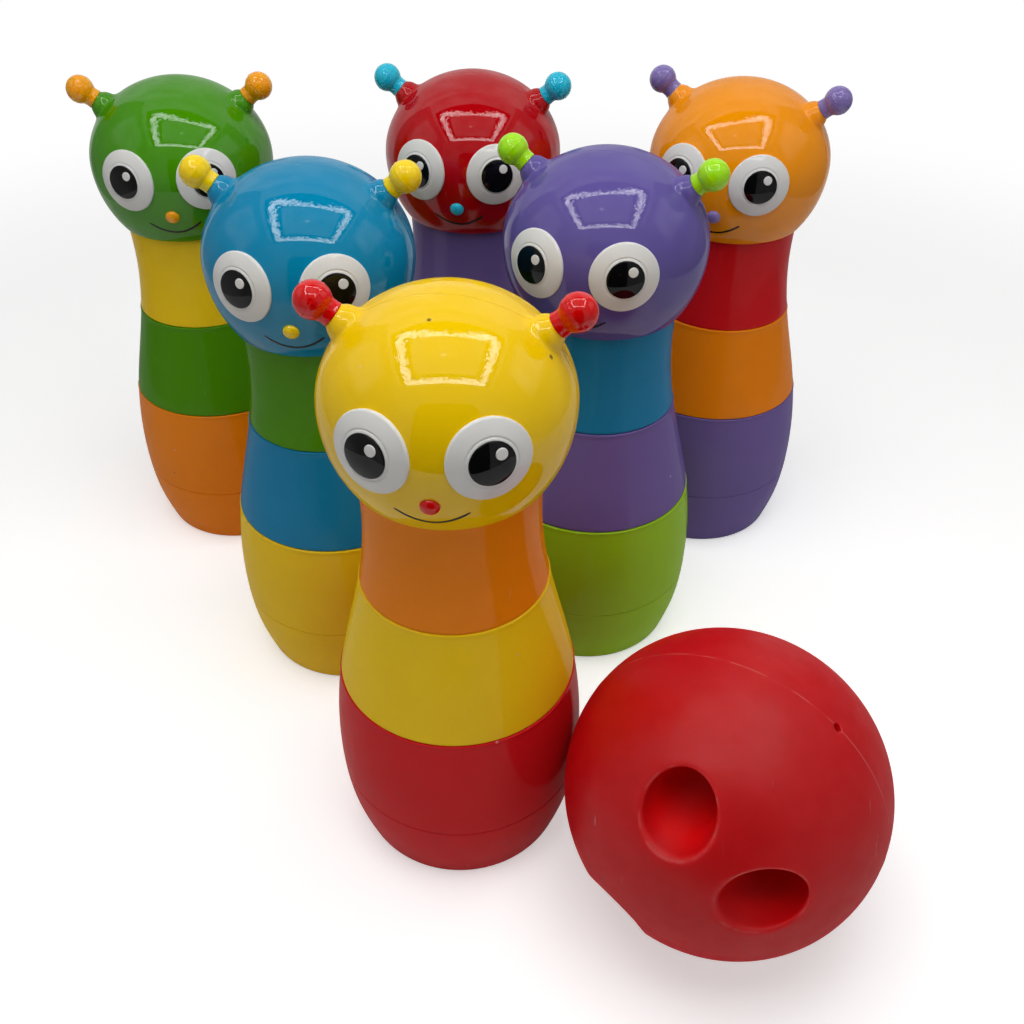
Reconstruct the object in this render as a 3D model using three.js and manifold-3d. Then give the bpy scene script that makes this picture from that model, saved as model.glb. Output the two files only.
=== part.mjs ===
// Toy bowling set for small children: six banded pins with round heads, and a ball with three finger holes.
// Units are millimetres and +Z is up. The bowler stands on the -Y side, and every face looks that way.
// The origin is on the floor, under the middle of the front pin. Left and right are the bowler's own.

import * as THREE from 'three';
import { mergeVertices } from 'three/addons/utils/BufferGeometryUtils.js';
import Module from 'manifold-3d';

const wasm = await Module();
wasm.setup();

// Heights of the pieces that stack up to one pin
const baseBandHeight = 71.4;
const middleBandHeight = 38.9;
const neckBandHeight = 38.3;
const headSkirtHeight = 23.9;
const headCrownHeight = 31.5;

// The pin's outline, from the floor up to the head
const footRadius = 34.4;
const footEdgeRadius = 36.4;
const footEdgeHeight = 2;
const heelRadius = 39.7;
const heelHeight = 14;
const bellyRadius = 41.8;
const bellyHeight = 34;
const middleSeamRadius = 38.7;
const neckSeamRadius = 29.6;
const waistRadius = 26.8;
const waistDrop = 12.6;
const neckTopRadius = 27.1;
const seamStep = 0.5;

// The head is widest above its rim, and flatter on its crown than on its skirt
const headRadius = 36.1;
const headRimRadius = 28.3;

// Fits that several pieces share
const fitGap = 0.3;
const cutOverrun = 2;

// Spigots that join the bands, and the flange that the two head shells close on
const baseSpigotRadius = 24;
const middleSpigotRadius = 17;
const spigotLength = 7;
const headSpigotRadius = 13;
const headSpigotLength = 9;
const headFlangeRadius = 17;
const headFlangeThickness = 3;

// Antennae: a flared stub moulded on the head, and a ball-ended tip plugged into it
const antennaTilt = 39;
const stubRootRadius = 8.4;
const stubRadius = 3.75;
const stubHeight = 3.9;
const stubSink = 5;
const tipBallRadius = 5.3;
const tipNeckRadius = 3.3;
const tipCollarRadius = 3.75;
const tipCollarLength = 1.6;
const tipStandoff = 6.3;
const pegRadius = 1.8;
const pegLength = 7.5;

// Face: two round eye plates let into the head, and a button nose moulded on it
const eyePlateRadius = 11.5;
const eyeHeading = 25.5;
const eyeElevation = 5;
const eyePocketDepth = 1.2;
const eyeProud = 1.2;
const eyeEdgeBreak = 0.6;
const noseRadius = 2.7;
const noseProud = 1.8;
const noseElevation = -17;

// Ball, with two finger cups and a thumb cup that run parallel to the pole of one half
const ballRadius = 50.8;
const cupRadius = 10.4;
const cupFlare = 2;
const cupRimDrop = 2.2;
const cupDepth = 25;
const fingerOffset = 27.3;
const thumbOffset = 29.5;
const fingerHeading = 36.5;
const thumbHeading = 180;
const ventRadius = 0.8;
const ventDepth = 4;
const ventHeading = 0;

// Where each piece of the set stands, in the loose triangle of the photograph
const frontPinSpot = [0, 0];
const midLeftPinSpot = [-51, 91];
const midRightPinSpot = [51, 102];
const backLeftPinSpot = [-116, 182];
const backMiddlePinSpot = [2.6, 189.5];
const backRightPinSpot = [111, 179.5];

// The ball lies beside the front pin, a hair clear of it, and was left turned as it rolled there
const ballBearing = -24.2;
const ballClearance = 1.8;
const ballHeading = -121.7;
const ballPoleElevation = 4.9;
const ballRoll = 147.8;

// Facets round the revolved pieces, and steps along their outlines
const bodySides = 20;
const baseBandSteps = 5;
const middleBandSteps = 2;
const neckBandSteps = 3;
const headSkirtSteps = 2;
const headCrownSteps = 5;
const spigotSides = 8;
const stubFlareSteps = 2;
const tipSides = 10;
const tipArcSteps = 4;
const eyeSides = 14;
const noseArcSteps = 2;
const ballSides = 28;
const ballRings = 16;
const cupSides = 14;
const cupFloorSteps = 4;
const cupRimSteps = 2;

// How matt each plastic is
const headRoughness = 0.18;
const bandRoughness = 0.3;
const ballRoughness = 0.42;

const quarterTurn = Math.PI / 2;
const triangleCorners = 3;
const radians = THREE.MathUtils.degToRad;

const colours = {
  yellow: 0xf3c613,
  orange: 0xf07c1a,
  red: 0xc81420,
  blue: 0x1682b4,
  skyBlue: 0x1c9ccc,
  green: 0x36961a,
  lime: 0x7fc71c,
  purple: 0x61459c,
  white: 0xf4f4f2,
};

// Heights of the seams, and of the middle of the head, from the floor
const middleSeamHeight = baseBandHeight;
const neckSeamHeight = middleSeamHeight + middleBandHeight;
const headSeatHeight = neckSeamHeight + neckBandHeight;
const headCentreHeight = headSeatHeight + headSkirtHeight;

// One smooth curve runs up the whole pin, so that the bands flow into each other
const footEdge = [footEdgeRadius, footEdgeHeight];
const heel = [heelRadius, heelHeight];
const belly = [bellyRadius, bellyHeight];
const middleSeam = [middleSeamRadius, middleSeamHeight];
const neckSeam = [neckSeamRadius, neckSeamHeight];
const waist = [waistRadius, headSeatHeight - waistDrop];
const neckTop = [neckTopRadius, headSeatHeight];
const stations = [footEdge, heel, belly, middleSeam, neckSeam, waist, neckTop];
const stationPoints = stations.map(([radius, height]) => new THREE.Vector2(radius, height));
const bodyCurve = new THREE.SplineCurve(stationPoints);

// Points of the body curve from one station to another, as [radius, height]
function bodyOutline(from, to, steps) {
  const first = stations.indexOf(from);
  const spans = stations.indexOf(to) - first;
  const points = [];
  for (let step = 0; step <= steps; step += 1) {
    const station = first + (spans * step) / steps;
    const point = bodyCurve.getPoint(station / (stations.length - 1));
    points.push([point.x, point.y]);
  }
  return points;
}

// A closed three.js geometry becomes a solid that can be joined and cut
function solidFrom(geometry) {
  geometry.deleteAttribute('normal');
  geometry.deleteAttribute('uv');
  const merged = mergeVertices(geometry);
  const index = merged.index.array;
  const triangles = [];
  for (let corner = 0; corner < index.length; corner += triangleCorners) {
    const [a, b, c] = index.slice(corner, corner + triangleCorners);
    if (a !== b && b !== c && c !== a) {
      triangles.push(a, b, c);
    }
  }
  return new wasm.Manifold(new wasm.Mesh({
    numProp: 3,
    vertProperties: new Float32Array(merged.attributes.position.array),
    triVerts: new Uint32Array(triangles),
  }));
}

// Revolves an outline of [radius, height] points, from the axis at the bottom to the axis at the top
function turned(outline, sides) {
  const points = outline.map(([radius, height]) => new THREE.Vector2(radius, height));
  const geometry = new THREE.LatheGeometry(points, sides);
  geometry.rotateX(quarterTurn);
  return geometry;
}

function disc(radius, bottom, top, sides) {
  return solidFrom(turned([[0, bottom], [radius, bottom], [radius, top], [0, top]], sides));
}

// Moves a geometry made along +Z so that it points along a direction from a centre
function aimed(geometry, direction, centre) {
  const turn = new THREE.Quaternion().setFromUnitVectors(new THREE.Vector3(0, 0, 1), direction);
  geometry.applyQuaternion(turn);
  geometry.translate(centre.x, centre.y, centre.z);
  return geometry;
}

function meshFrom(solid, name, material) {
  const { vertProperties, triVerts } = solid.getMesh();
  const geometry = new THREE.BufferGeometry();
  geometry.setAttribute('position', new THREE.BufferAttribute(vertProperties, 3));
  geometry.setIndex(new THREE.BufferAttribute(triVerts, 1));
  geometry.computeVertexNormals();
  const mesh = new THREE.Mesh(geometry, material);
  mesh.name = name;
  return mesh;
}

function plastic(colour, roughness) {
  return new THREE.MeshStandardMaterial({ color: colour, roughness, metalness: 0 });
}

// Base band: stands on a flat foot, and has a socket for the middle band in its top
function makeBaseBand() {
  const top = middleSeamHeight - fitGap;
  const outline = bodyOutline(footEdge, middleSeam, baseBandSteps);
  outline[outline.length - 1] = [middleSeamRadius, top];
  const shell = solidFrom(turned([[0, 0], [footRadius, 0], ...outline, [0, top]], bodySides));
  const socketFloor = middleSeamHeight - spigotLength - fitGap;
  return shell.subtract(disc(baseSpigotRadius + fitGap, socketFloor, top + cutOverrun, spigotSides));
}

// Middle band: a spigot goes down into the base band, and the neck band's goes into its top
function makeMiddleBand() {
  const top = neckSeamHeight - fitGap;
  const outline = bodyOutline(middleSeam, neckSeam, middleBandSteps);
  outline[0] = [middleSeamRadius - seamStep, middleSeamHeight];
  outline[outline.length - 1] = [neckSeamRadius, top];
  const shell = solidFrom(turned([[0, middleSeamHeight], ...outline, [0, top]], bodySides));
  const spigotFoot = middleSeamHeight - spigotLength;
  const spigot = disc(baseSpigotRadius, spigotFoot, middleSeamHeight + cutOverrun, spigotSides);
  const socketFloor = neckSeamHeight - spigotLength - fitGap;
  const socket = disc(middleSpigotRadius + fitGap, socketFloor, top + cutOverrun, spigotSides);
  return shell.add(spigot).subtract(socket);
}

// Neck band: its flanged spigot is what the two head shells close on
function makeNeckBand() {
  const top = headSeatHeight - fitGap;
  const outline = bodyOutline(neckSeam, neckTop, neckBandSteps);
  outline[0] = [neckSeamRadius - seamStep, neckSeamHeight];
  outline[outline.length - 1] = [neckTopRadius, top];
  const shell = solidFrom(turned([[0, neckSeamHeight], ...outline, [0, top]], bodySides));
  const spigotFoot = neckSeamHeight - spigotLength;
  const spigot = disc(middleSpigotRadius, spigotFoot, neckSeamHeight + cutOverrun, spigotSides);
  const flangeTop = headSeatHeight + headSpigotLength;
  const flange = solidFrom(turned([
    [0, top - cutOverrun],
    [headSpigotRadius, top - cutOverrun],
    [headSpigotRadius, flangeTop - headFlangeThickness],
    [headFlangeRadius, flangeTop - headFlangeThickness],
    [headFlangeRadius, flangeTop],
    [0, flangeTop],
  ], spigotSides));
  return shell.add(spigot).add(flange);
}

// Radius of the head at a height above or below its middle: two half ellipses that share the widest circle
function headRadiusAt(rise) {
  const skirtDepth = headSkirtHeight / Math.sqrt(1 - (headRimRadius / headRadius) ** 2);
  const half = rise < 0 ? skirtDepth : headCrownHeight;
  return headRadius * Math.sqrt(Math.max(0, 1 - (rise / half) ** 2));
}

function headOutline() {
  const points = [[0, headSeatHeight], [headRimRadius, headSeatHeight]];
  for (let step = 1; step <= headSkirtSteps; step += 1) {
    const rise = -headSkirtHeight * (1 - step / headSkirtSteps);
    points.push([headRadiusAt(rise), headCentreHeight + rise]);
  }
  for (let step = 1; step <= headCrownSteps; step += 1) {
    const rise = headCrownHeight * Math.sin((quarterTurn * step) / headCrownSteps);
    points.push([step < headCrownSteps ? headRadiusAt(rise) : 0, headCentreHeight + rise]);
  }
  return points;
}

const headCentre = new THREE.Vector3(0, 0, headCentreHeight);

// Distance from the middle of the head to its crown's surface, along a line that climbs at an angle
function crownReach(elevation) {
  const across = Math.cos(radians(elevation)) / headRadius;
  const up = Math.sin(radians(elevation)) / headCrownHeight;
  return 1 / Math.hypot(across, up);
}

function antennaDirection(side) {
  const tilt = radians(antennaTilt);
  return new THREE.Vector3(side * Math.cos(tilt), 0, Math.sin(tilt));
}

const stubEnd = crownReach(antennaTilt) + stubHeight;

// The stub sweeps out of the head along a curve that ends at the tip's collar
function makeStub(side) {
  const surface = stubEnd - stubHeight;
  const sweep = new THREE.QuadraticBezierCurve(
    new THREE.Vector2(stubRootRadius, surface - stubSink / 2),
    new THREE.Vector2(stubRadius, surface),
    new THREE.Vector2(stubRadius, stubEnd),
  );
  const flare = sweep.getPoints(stubFlareSteps).map((point) => [point.x, point.y]);
  const outline = [[0, surface - stubSink], [stubRootRadius, surface - stubSink], ...flare, [0, stubEnd]];
  return solidFrom(aimed(turned(outline, tipSides), antennaDirection(side), headCentre));
}

function makePegBore(side) {
  const radius = pegRadius + fitGap;
  const floor = stubEnd - pegLength - fitGap;
  const outline = [[0, floor], [radius, floor], [radius, stubEnd + cutOverrun], [0, stubEnd + cutOverrun]];
  return solidFrom(aimed(turned(outline, tipSides), antennaDirection(side), headCentre));
}

// Antenna tip: peg, collar, drawn-in neck and ball, revolved in one
function makeAntennaTip(side) {
  const face = stubEnd + fitGap;
  const ballCentre = face + tipStandoff;
  const neckRise = Math.sqrt(tipBallRadius ** 2 - tipNeckRadius ** 2);
  const startAngle = Math.atan2(-neckRise, tipNeckRadius);
  const outline = [
    [0, stubEnd - pegLength],
    [pegRadius, stubEnd - pegLength],
    [pegRadius, face],
    [tipCollarRadius, face],
    [tipNeckRadius, face + tipCollarLength],
  ];
  for (let step = 1; step <= tipArcSteps; step += 1) {
    const angle = startAngle + ((quarterTurn - startAngle) * step) / tipArcSteps;
    const radius = step < tipArcSteps ? tipBallRadius * Math.cos(angle) : 0;
    outline.push([radius, ballCentre + tipBallRadius * Math.sin(angle)]);
  }
  return solidFrom(aimed(turned(outline, tipSides), antennaDirection(side), headCentre));
}

function eyeDirection(side) {
  const heading = radians(eyeHeading);
  const elevation = radians(eyeElevation);
  const out = Math.cos(elevation);
  return new THREE.Vector3(side * out * Math.sin(heading), -out * Math.cos(heading), Math.sin(elevation));
}

// The eye's pocket has a flat floor, set below the head's surface at the plate's edge
const eyeFloor = Math.sqrt(headRadius ** 2 - eyePlateRadius ** 2) - eyePocketDepth;

function makeEyePocket(side) {
  const radius = eyePlateRadius + fitGap;
  const top = headRadius + cutOverrun;
  const outline = [[0, eyeFloor], [radius, eyeFloor], [radius, top], [0, top]];
  return solidFrom(aimed(turned(outline, eyeSides), eyeDirection(side), headCentre));
}

// Eye plate: flat underneath and domed like the head on top, with a broken edge
function makeEyePlate(side) {
  const domeRadius = headRadius + eyeProud;
  const domeAt = (radius) => Math.sqrt(domeRadius ** 2 - radius ** 2);
  const bottom = eyeFloor + fitGap;
  const shoulder = eyePlateRadius - eyeEdgeBreak;
  const outline = [
    [0, bottom],
    [eyePlateRadius, bottom],
    [eyePlateRadius, domeAt(eyePlateRadius) - eyeEdgeBreak],
    [shoulder, domeAt(shoulder)],
    [0, domeRadius],
  ];
  return solidFrom(aimed(turned(outline, eyeSides), eyeDirection(side), headCentre));
}

function makeNose() {
  const elevation = radians(noseElevation);
  const direction = new THREE.Vector3(0, -Math.cos(elevation), Math.sin(elevation));
  const surface = headRadiusAt(headRadius * Math.sin(elevation)) / Math.cos(elevation);
  const outline = [[0, surface - noseProud], [noseRadius, surface - noseProud], [noseRadius, surface]];
  for (let step = 1; step < noseArcSteps; step += 1) {
    const angle = (quarterTurn * step) / noseArcSteps;
    outline.push([noseRadius * Math.cos(angle), surface + noseProud * Math.sin(angle)]);
  }
  outline.push([0, surface + noseProud]);
  return solidFrom(aimed(turned(outline, tipSides), direction, headCentre));
}

// The cavity that the neck's flanged spigot sits in, open through the head's underside
function makeFlangeCavity() {
  const flangeTop = headSeatHeight + headSpigotLength;
  return solidFrom(turned([
    [0, headSeatHeight - cutOverrun],
    [headSpigotRadius + fitGap, headSeatHeight - cutOverrun],
    [headSpigotRadius + fitGap, flangeTop - headFlangeThickness - fitGap],
    [headFlangeRadius + fitGap, flangeTop - headFlangeThickness - fitGap],
    [headFlangeRadius + fitGap, flangeTop + fitGap],
    [0, flangeTop + fitGap],
  ], spigotSides));
}

// Half of space on one side of the seam that runs over the head from antenna to antenna
function seamBlock(side) {
  const reach = stubEnd + cutOverrun;
  const block = new THREE.BoxGeometry(reach * 2, reach, reach * 2);
  block.translate(0, (side * (reach + fitGap)) / 2, headCentreHeight);
  return solidFrom(block);
}

function makeHeadShells() {
  let head = solidFrom(turned(headOutline(), bodySides));
  for (const side of [-1, 1]) {
    head = head.add(makeStub(side)).subtract(makePegBore(side)).subtract(makeEyePocket(side));
  }
  head = head.add(makeNose()).subtract(makeFlangeCavity());
  return { front: head.intersect(seamBlock(-1)), back: head.intersect(seamBlock(1)) };
}

const baseBand = makeBaseBand();
const middleBand = makeMiddleBand();
const neckBand = makeNeckBand();
const headShells = makeHeadShells();
const antennaTips = { left: makeAntennaTip(-1), right: makeAntennaTip(1) };
const eyePlates = { left: makeEyePlate(-1), right: makeEyePlate(1) };

// One pin, with its own colours, turned a little on its spot
function makePin({ name, spot, turn, head, tips, neck, middle, base }) {
  const pin = new THREE.Group();
  const [x, y] = spot;
  pin.position.set(x, y, 0);
  pin.rotation.z = radians(turn);
  pin.add(meshFrom(baseBand, `${name}_base_band`, plastic(base, bandRoughness)));
  pin.add(meshFrom(middleBand, `${name}_middle_band`, plastic(middle, bandRoughness)));
  pin.add(meshFrom(neckBand, `${name}_neck_band`, plastic(neck, bandRoughness)));
  pin.add(meshFrom(headShells.front, `${name}_head_front`, plastic(head, headRoughness)));
  pin.add(meshFrom(headShells.back, `${name}_head_back`, plastic(head, headRoughness)));
  for (const side of ['left', 'right']) {
    pin.add(meshFrom(antennaTips[side], `${name}_antenna_tip_${side}`, plastic(tips, headRoughness)));
    pin.add(meshFrom(eyePlates[side], `${name}_eye_plate_${side}`, plastic(colours.white, headRoughness)));
  }
  return pin;
}

// A cup parallel to the pole: rounded floor, straight wall, and a rolled rim that follows the ball's skin
function makeCup(offset, heading) {
  const wallDepth = cupDepth - cupRimDrop;
  const outline = [];
  for (let step = 0; step <= cupFloorSteps; step += 1) {
    const angle = (quarterTurn * step) / cupFloorSteps;
    outline.push([cupRadius * Math.sin(angle), -cupRimDrop - wallDepth * Math.cos(angle)]);
  }
  const roll = new THREE.QuadraticBezierCurve(
    new THREE.Vector2(cupRadius, -cupRimDrop),
    new THREE.Vector2(cupRadius, 0),
    new THREE.Vector2(cupRadius + cupFlare, 0),
  );
  const rim = roll.getPoints(cupRimSteps).map((point) => [point.x, point.y]);
  outline.push(...rim.slice(1));
  outline.push([cupRadius + cupFlare, cutOverrun], [0, cutOverrun]);
  const geometry = turned(outline, cupSides);
  geometry.translate(offset, 0, 0);
  const points = geometry.attributes.position;
  const skinHeight = (x, y) => Math.sqrt(ballRadius ** 2 - x ** 2 - y ** 2);
  const middleHeight = skinHeight(offset, 0);
  for (let i = 0; i < points.count; i += 1) {
    const [x, y, height] = [points.getX(i), points.getY(i), points.getZ(i)];
    const share = Math.min(1, (cupDepth + height) / wallDepth);
    points.setZ(i, height + middleHeight + share * (skinHeight(x, y) - middleHeight));
  }
  geometry.rotateZ(radians(heading));
  return solidFrom(geometry);
}

// A pin-prick vent on the parting line, which is the circle midway between the ball's poles
function makeVent() {
  const around = radians(ventHeading);
  const direction = new THREE.Vector3(Math.cos(around), Math.sin(around), 0);
  const outline = [
    [0, ballRadius - ventDepth],
    [ventRadius, ballRadius - ventDepth],
    [ventRadius, ballRadius + cutOverrun],
    [0, ballRadius + cutOverrun],
  ];
  return solidFrom(aimed(turned(outline, tipSides), direction, new THREE.Vector3()));
}

// How far the ball's centre stands from a pin's axis when the two outlines just touch
function touchingReach() {
  const reaches = bodyOutline(footEdge, middleSeam, baseBandSteps).map(([radius, height]) => {
    const halfWidth = Math.sqrt(Math.max(0, ballRadius ** 2 - (height - ballRadius) ** 2));
    return radius + halfWidth;
  });
  return Math.max(...reaches);
}

// Ball: made with its pole up, then rolled to the way it lies beside the front pin
function makeBall() {
  const sphere = new THREE.SphereGeometry(ballRadius, ballSides, ballRings);
  sphere.rotateX(quarterTurn);
  let body = solidFrom(sphere);
  body = body.subtract(makeCup(fingerOffset, fingerHeading));
  body = body.subtract(makeCup(fingerOffset, -fingerHeading));
  body = body.subtract(makeCup(thumbOffset, thumbHeading));
  body = body.subtract(makeVent());
  const mesh = meshFrom(body, 'ball', plastic(colours.red, ballRoughness));
  mesh.rotation.z = radians(ballRoll);
  const lean = new THREE.Group();
  lean.rotation.y = quarterTurn - radians(ballPoleElevation);
  lean.add(mesh);
  const place = new THREE.Group();
  place.rotation.z = radians(ballHeading);
  const reach = touchingReach() + ballClearance;
  const bearing = radians(ballBearing);
  const [pinX, pinY] = frontPinSpot;
  place.position.set(pinX + reach * Math.cos(bearing), pinY + reach * Math.sin(bearing), ballRadius);
  place.add(lean);
  return place;
}

const { yellow, orange, red, blue, skyBlue, green, lime, purple } = colours;
const pins = [
  { name: 'front_pin', spot: frontPinSpot, turn: -5.7,
    head: yellow, tips: red, neck: orange, middle: yellow, base: red },
  { name: 'mid_left_pin', spot: midLeftPinSpot, turn: -3.7,
    head: blue, tips: yellow, neck: green, middle: blue, base: yellow },
  { name: 'mid_right_pin', spot: midRightPinSpot, turn: -20.2,
    head: purple, tips: lime, neck: blue, middle: purple, base: lime },
  { name: 'back_left_pin', spot: backLeftPinSpot, turn: 3.5,
    head: green, tips: orange, neck: yellow, middle: green, base: orange },
  { name: 'back_middle_pin', spot: backMiddlePinSpot, turn: -9.6,
    head: red, tips: skyBlue, neck: purple, middle: red, base: skyBlue },
  { name: 'back_right_pin', spot: backRightPinSpot, turn: -23.3,
    head: orange, tips: purple, neck: red, middle: orange, base: purple },
];

const bowlingSet = new THREE.Group();
for (const pin of pins) {
  bowlingSet.add(makePin(pin));
}
bowlingSet.add(makeBall());

export default bowlingSet;
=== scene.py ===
import math

import bmesh
import bpy
import numpy as np
from mathutils import Euler, Matrix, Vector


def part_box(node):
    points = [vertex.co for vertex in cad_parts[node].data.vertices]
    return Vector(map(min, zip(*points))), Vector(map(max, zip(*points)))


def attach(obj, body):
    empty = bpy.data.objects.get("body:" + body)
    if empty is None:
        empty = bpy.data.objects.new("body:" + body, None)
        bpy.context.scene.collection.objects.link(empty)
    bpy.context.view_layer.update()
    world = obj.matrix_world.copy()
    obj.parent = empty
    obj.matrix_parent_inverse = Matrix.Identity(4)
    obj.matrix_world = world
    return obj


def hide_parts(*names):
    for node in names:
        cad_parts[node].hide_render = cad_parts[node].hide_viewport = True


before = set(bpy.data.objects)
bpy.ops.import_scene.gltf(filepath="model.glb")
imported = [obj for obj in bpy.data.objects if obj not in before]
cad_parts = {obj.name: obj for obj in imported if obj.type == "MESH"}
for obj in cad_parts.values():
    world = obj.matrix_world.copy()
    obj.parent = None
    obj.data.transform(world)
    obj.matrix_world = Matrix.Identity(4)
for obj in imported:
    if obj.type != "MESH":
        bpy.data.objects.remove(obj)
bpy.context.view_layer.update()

mm = 0.001  # shapes are worked out in millimetres, and made in metres
weldDistance = 2e-6  # in metres
tiny = 1e-9

# Each pin's turn about its own axis, in degrees, and its colours. The middle band has the head's colour, and
# the nose and the base band have the antenna tips'.
pins = {
    "front_pin": {"turn": -5.7, "head": "yellow", "tips": "red", "neck": "orange"},
    "mid_left_pin": {"turn": -3.7, "head": "blue", "tips": "yellow", "neck": "green"},
    "mid_right_pin": {"turn": -20.2, "head": "purple", "tips": "lime", "neck": "blue"},
    "back_left_pin": {"turn": 3.5, "head": "green", "tips": "orange", "neck": "yellow"},
    "back_middle_pin": {"turn": -9.6, "head": "red", "tips": "sky_blue", "neck": "purple"},
    "back_right_pin": {"turn": -23.3, "head": "orange", "tips": "purple", "neck": "red"},
}

# Plastic colours as they look in even white light, from 0 to 1 on screen, for each kind of moulding
shades = {
    "head": {"yellow": (0.953, 0.783, 0.016), "orange": (0.975, 0.595, 0.016),
             "red": (0.711, 0.016, 0.057), "blue": (0.016, 0.521, 0.69), "green": (0.276, 0.572, 0.016),
             "purple": (0.378, 0.327, 0.604)},
    "band": {"yellow": (0.99, 0.819, 0.102), "orange": (0.98, 0.546, 0.059), "red": (0.837, 0.098, 0.121),
             "blue": (0.099, 0.512, 0.696), "sky_blue": (0.116, 0.613, 0.778),
             "green": (0.312, 0.568, 0.027), "lime": (0.612, 0.8, 0.125), "purple": (0.45, 0.377, 0.633)},
    "tip": {"red": (0.826, 0.016, 0.016), "yellow": (0.99, 0.828, 0.016), "lime": (0.647, 0.898, 0.016),
            "orange": (0.99, 0.639, 0.016), "sky_blue": (0.115, 0.741, 0.852),
            "purple": (0.51, 0.449, 0.697)},
    "eye": {"white": (0.885, 0.882, 0.868)},
    "ink": {"black": (0.035, 0.035, 0.04)},
    "vinyl": {"red": (0.767, 0.016, 0.051)},
}

# What a plastic's skin shows. All its mirroring comes from a clear film: its share sets how strongly the skin
# mirrors at every angle, and its index how much of that is left seen straight on. Glow is the share of light
# that wanders inside before it leaves, and reach how far, in metres.
finishes = {
    "head": {"roughness": 0.03, "film": 0.45, "index": 1.75, "glow": 0, "reach": 0.001,
             "mottle": 0.05, "specks": 0.5, "scuffs": 0.25, "grain": 0.2},
    "band": {"roughness": 0.10, "film": 0.26, "index": 1.5, "glow": 0, "reach": 0.001,
             "mottle": 0.06, "specks": 0.6, "scuffs": 0.45, "grain": 0.3},
    "tip": {"roughness": 0.05, "film": 0.7, "index": 1.65, "glow": 0.5, "reach": 0.003,
            "mottle": 0.05, "specks": 0.3, "scuffs": 0.1, "grain": 0.1},
    "eye": {"roughness": 0.04, "film": 0.55, "index": 1.65, "glow": 0, "reach": 0.001,
            "mottle": 0.03, "specks": 0.5, "scuffs": 0.3, "grain": 0.2},
    "ink": {"roughness": 0.05, "film": 0.9, "index": 1.4, "glow": 0, "reach": 0.001,
            "mottle": 0.2, "specks": 0.2, "scuffs": 0.3, "grain": 0.2},
    "vinyl": {"roughness": 0.42, "film": 0.32, "index": 1.75, "glow": 0.85, "reach": 0.014,
              "mottle": 0.10, "specks": 1.0, "scuffs": 1.0, "grain": 1.0},
}


# Shapes

# 0 below 0, 1 above 1, and 6t^5 - 15t^4 + 10t^3 between, so slope and bend are continuous.
def smoothStep(t):
    t = np.clip(t, 0, 1)
    return t * t * t * (t * (6 * t - 15) + 10)


# Natural cubic spline by chord length: the bends at the stations solve a band of equations.
def splineThrough(stations, count):
    points = np.array(stations, float)
    chord = np.linalg.norm(np.diff(points, axis=0), axis=1)
    knots = np.concatenate([[0], np.cumsum(chord)])
    size = len(knots)
    matrix = np.eye(size)
    right = np.zeros_like(points)
    for i in range(1, size - 1):
        before, after = chord[i - 1], chord[i]
        matrix[i, i - 1:i + 2] = before, 2 * (before + after), after
        right[i] = 6 * ((points[i + 1] - points[i]) / after - (points[i] - points[i - 1]) / before)
    bend = np.linalg.solve(matrix, right)
    t = np.linspace(0, knots[-1], count)
    i = np.clip(np.searchsorted(knots, t, side="right") - 1, 0, size - 2)
    h = chord[i][:, None]
    a = (knots[i + 1] - t)[:, None] / h
    b = 1 - a
    curve = a * points[i] + b * points[i + 1]
    return curve + ((a ** 3 - a) * bend[i] + (b ** 3 - b) * bend[i + 1]) * h ** 2 / 6


# Quadratic or cubic curve from its control points, in Bernstein form.
def bezier(points, count):
    t = np.linspace(0, 1, count)[:, None]
    order = len(points) - 1
    terms = [math.comb(order, k) * t ** k * (1 - t) ** (order - k) * np.array(p, float)
             for k, p in enumerate(points)]
    return sum(terms)


# Points of a circle's arc in the plane of radius and height, angles in degrees.
def arc(centre, radius, start, end, count):
    angle = np.radians(np.linspace(start, end, count))
    return np.stack([centre[0] + radius * np.cos(angle), centre[1] + radius * np.sin(angle)], axis=1)


# Angles evenly round a circle.
def roundTurn(count):
    return np.arange(count) * 2 * np.pi / count


# Surface of revolution: (r cos u, r sin u, h) for each profile point (r, h) and each angle u.
def lathe(profile, sides):
    angle = roundTurn(sides)
    radius, height = profile[:, :1], profile[:, 1:]
    return np.stack([radius * np.cos(angle), radius * np.sin(angle), height + 0 * angle], axis=2)


# The same vectors with length 1.
def unit(vectors):
    return vectors / np.linalg.norm(vectors, axis=-1, keepdims=True)


# Rotation whose third column is the axis, with its first column square to the y axis.
def turnTo(axis):
    axis = unit(np.array(axis, float))
    side = unit(np.cross([0, 1, 0], axis))
    return np.stack([side, np.cross(axis, side), axis], axis=1)


def addObject(name, data):
    thing = bpy.data.objects.new(name, data)
    bpy.context.scene.collection.objects.link(thing)
    return thing


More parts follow.
